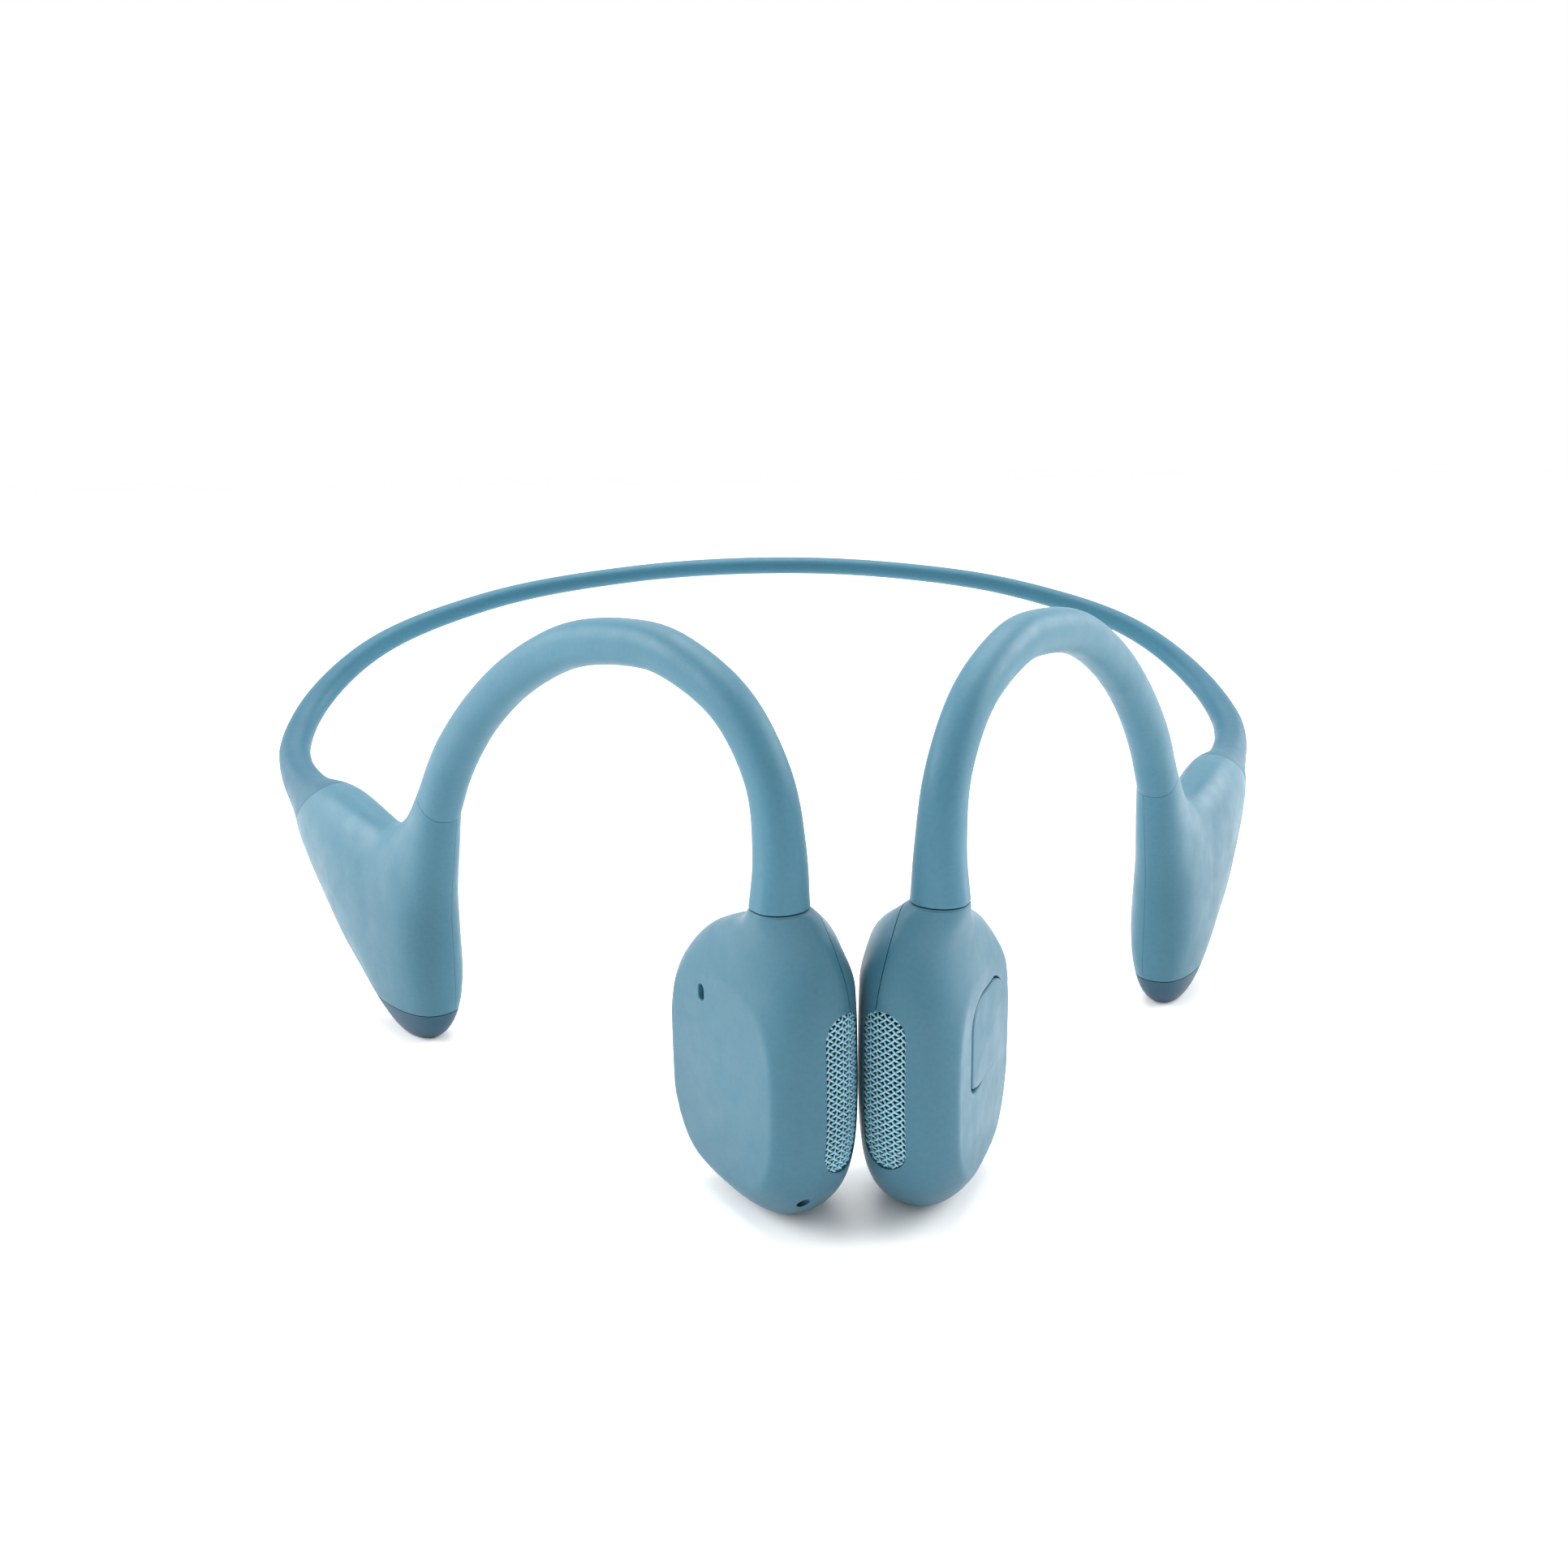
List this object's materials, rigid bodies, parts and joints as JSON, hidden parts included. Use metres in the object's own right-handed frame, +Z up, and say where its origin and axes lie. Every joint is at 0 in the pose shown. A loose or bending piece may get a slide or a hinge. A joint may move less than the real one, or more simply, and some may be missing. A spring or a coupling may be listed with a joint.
{
  "type": "bone conduction headphones",
  "caption": "Open-ear headphones with a sprung neckband, ear hooks, bone conduction housings, a function button, volume keys and rear pods.",
  "frame": {"origin": "the middle of the outline seen from above, on the surface the object stands on", "axes": "+X the wearer's left, +Y the back of the head where the neckband runs, +Z up"},
  "size_m": [0.1272, 0.1114, 0.0478],
  "materials": {
    "shell": "satin soft-touch moulding",
    "silicone": "matte liquid silicone",
    "band": "matte liquid silicone, a deeper tone",
    "foot": "matte dark silicone",
    "grille": "fine painted steel mesh",
    "steel": "plain",
    "spring_wire": "drawn wire",
    "magnet": "nickel plated",
    "copper": null,
    "cable": "insulated strands",
    "board": "solder-masked laminate",
    "cell": null,
    "dark_plastic": "black moulding"
  },
  "bodies": {
    "neckband": {"neckband_sleeve": "band", "neckband_wire": "spring_wire", "neckband_cable": "cable"},
    "left_arm": {"left_band_sleeve": "band", "left_band_wire": "spring_wire", "left_band_cable": "cable", "left_pod_shell": "shell", "left_pod_cover": "shell", "left_pod_foot": "foot", "left_hook_sleeve": "silicone", "left_hook_wire": "spring_wire", "left_hook_cable": "cable", "left_housing_shell": "shell", "left_housing_cover": "shell", "left_contact_pad": "silicone", "left_speaker_grille": "grille", "left_air_driver": "dark_plastic", "left_air_diaphragm": "dark_plastic", "left_transducer_yoke": "steel", "left_transducer_magnet": "magnet", "left_suspension_spring": "spring_wire", "battery": "cell", "protection_board": "board", "function_switch": "steel", "function_board": "board"},
    "right_arm": {"right_band_sleeve": "band", "right_band_wire": "spring_wire", "right_band_cable": "cable", "right_pod_shell": "shell", "right_pod_cover": "shell", "right_pod_foot": "foot", "right_hook_sleeve": "silicone", "right_hook_wire": "spring_wire", "right_hook_cable": "cable", "right_housing_shell": "shell", "right_housing_cover": "shell", "right_contact_pad": "silicone", "right_speaker_grille": "grille", "right_air_driver": "dark_plastic", "right_air_diaphragm": "dark_plastic", "right_transducer_yoke": "steel", "right_transducer_magnet": "magnet", "right_suspension_spring": "spring_wire", "main_board": "board", "radio_shield": "steel", "charging_socket": "steel", "socket_tongue": "dark_plastic", "volume_down_switch": "steel", "volume_up_switch": "steel", "facet_microphone": "steel", "lower_microphone": "steel"},
    "left_armature": {"left_voice_coil": "copper"},
    "right_armature": {"right_voice_coil": "copper"},
    "function_key": {"function_button": "silicone"},
    "volume_down_key": {"volume_down_button": "foot"},
    "volume_up_key": {"volume_up_button": "foot"}
  },
  "joints": [
    {"name": "left_arm_flex", "type": "hinge", "parent": "neckband", "child": "left_arm", "pos_m": [0.045, 0.05037, 0.03923], "axis": [0, 0, 1], "range_deg": [0, 25], "stiffness_Nm_per_rad": 0.23},
    {"name": "right_arm_flex", "type": "hinge", "parent": "neckband", "child": "right_arm", "pos_m": [-0.045, 0.05037, 0.03923], "axis": [0, 0, -1], "range_deg": [0, 25], "stiffness_Nm_per_rad": 0.23},
    {"name": "left_transducer_stroke", "type": "slide", "parent": "left_arm", "child": "left_armature", "axis": [0.887, -0.4618, 0], "range_m": [-0.00015, 0.00015], "stiffness_N_per_m": 1500},
    {"name": "right_transducer_stroke", "type": "slide", "parent": "right_arm", "child": "right_armature", "axis": [-0.887, -0.4618, 0], "range_m": [-0.00015, 0.00015], "stiffness_N_per_m": 1500},
    {"name": "function_button_press", "type": "slide", "parent": "left_arm", "child": "function_key", "axis": [-0.887, 0.4618, 0], "range_m": [0, 0.0004], "stiffness_N_per_m": 3000},
    {"name": "volume_down_press", "type": "slide", "parent": "right_arm", "child": "volume_down_key", "axis": [0.3069, -0.4744, 0.8251], "range_m": [0, 0.0004], "stiffness_N_per_m": 3000},
    {"name": "volume_up_press", "type": "slide", "parent": "right_arm", "child": "volume_up_key", "axis": [0.3069, -0.4744, 0.8251], "range_m": [0, 0.0004], "stiffness_N_per_m": 3000}
  ]
}
